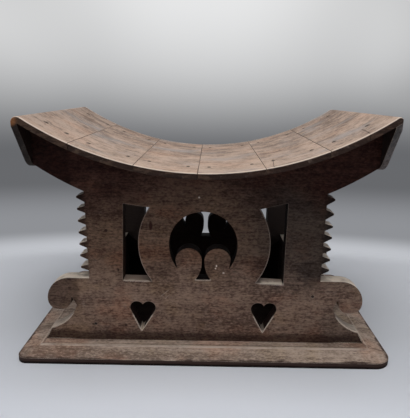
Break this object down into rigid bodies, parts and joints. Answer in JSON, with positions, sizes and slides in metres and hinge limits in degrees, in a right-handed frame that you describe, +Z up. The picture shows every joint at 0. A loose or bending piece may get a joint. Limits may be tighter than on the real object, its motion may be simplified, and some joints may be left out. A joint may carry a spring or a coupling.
{
  "type": "stool",
  "caption": "Joined wooden stool with a hollowed slatted seat on two fret-sawn panels with saw-tooth columns, scrolls and hearts, over a bevelled base board.",
  "frame": {"origin": "middle of the base board's underside", "axes": "+X along the seat to the right, +Y from the front panel to the rear panel, +Z up"},
  "size_m": [0.56, 0.325, 0.3644],
  "materials": {
    "seat_wood": "hand-worn, pale along the edges",
    "end_wood": "dark stain, dull",
    "panel_wood": "dark stain, dull, dry grain",
    "side_wood": "dark stain, dusty",
    "base_wood": "dark stain worn pale on the bevel",
    "nail_iron": "black, slightly rusted"
  },
  "bodies": {
    "root": {"seat_slat_1": "seat_wood", "seat_slat_2": "seat_wood", "seat_slat_3": "seat_wood", "seat_slat_4": "seat_wood", "seat_slat_5": "seat_wood", "seat_slat_6": "seat_wood", "end_board_left": "end_wood", "end_board_right": "end_wood", "front_panel": "panel_wood", "rear_panel": "panel_wood", "side_board_left": "side_wood", "side_board_right": "side_wood", "base_board": "base_wood", "seat_nails_front": "nail_iron", "seat_nails_rear": "nail_iron", "panel_nails_front": "nail_iron", "panel_nails_rear": "nail_iron", "end_nails_left": "nail_iron", "end_nails_right": "nail_iron", "base_nails": "nail_iron"}
  },
  "joints": []
}
